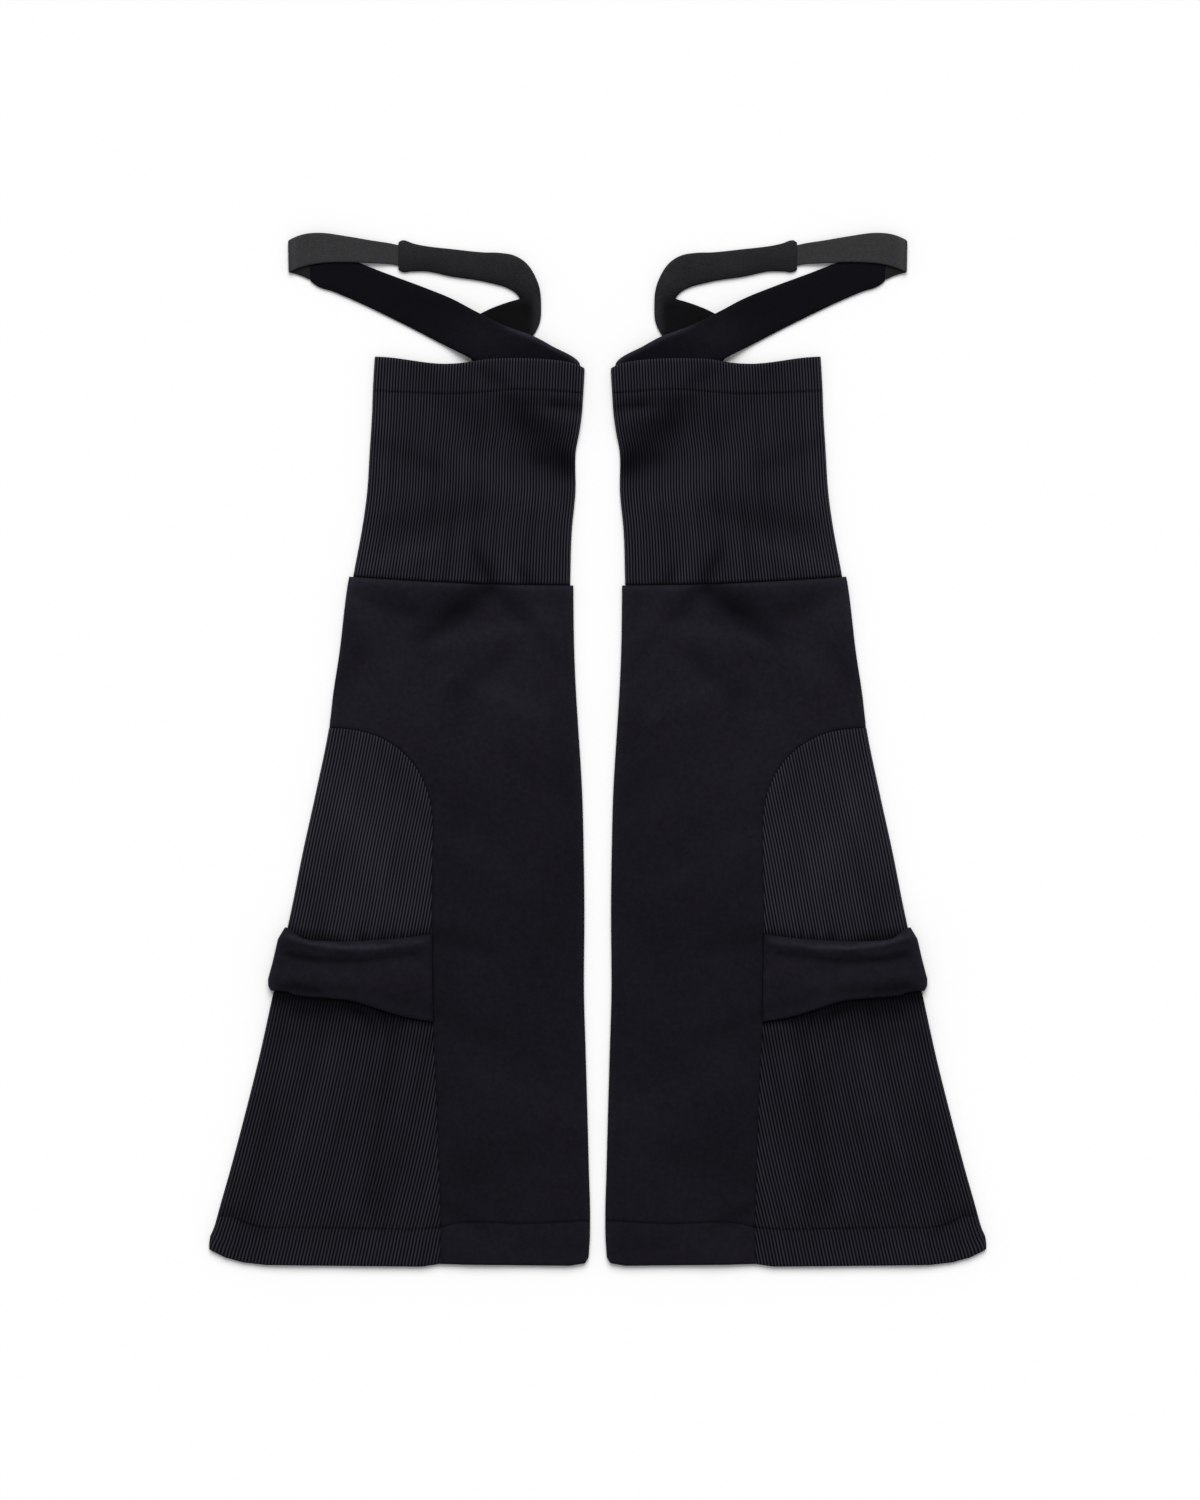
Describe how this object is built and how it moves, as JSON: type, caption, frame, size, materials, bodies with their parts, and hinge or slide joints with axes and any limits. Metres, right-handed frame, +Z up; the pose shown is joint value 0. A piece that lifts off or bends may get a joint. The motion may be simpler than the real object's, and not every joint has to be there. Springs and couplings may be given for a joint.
{
  "type": "pair of flared leg warmers",
  "caption": "Long knitted leg warmers laid flat side by side: ribbed cuff, smooth panel, ribbed godet, sewn band and a looped strap at the top.",
  "frame": {"origin": "middle of the pair, on the surface it lies on", "axes": "+Z up out of the surface, +Y along the legs towards the cuffs and straps, +X across the pair"},
  "size_m": [0.544, 0.723, 0.0103],
  "materials": {
    "rib_knit": "matte ribbed knit, near-black",
    "smooth_knit": "smooth thick jersey, near-black with a soft sheen",
    "strap_knit": "smooth jersey tube, near-black",
    "elastic": "woven elastic, charcoal"
  },
  "bodies": {
    "root": {"left_cuff_front": "rib_knit", "left_cuff_back": "rib_knit", "left_main_front": "smooth_knit", "left_main_back": "smooth_knit", "left_godet_front": "rib_knit", "left_godet_back": "rib_knit", "left_band_front": "smooth_knit", "left_band_back": "smooth_knit", "left_strap_lower": "strap_knit", "left_strap_upper": "strap_knit", "left_elastic": "elastic", "right_cuff_front": "rib_knit", "right_cuff_back": "rib_knit", "right_main_front": "smooth_knit", "right_main_back": "smooth_knit", "right_godet_front": "rib_knit", "right_godet_back": "rib_knit", "right_band_front": "smooth_knit", "right_band_back": "smooth_knit", "right_strap_lower": "strap_knit", "right_strap_upper": "strap_knit", "right_elastic": "elastic"}
  },
  "joints": []
}
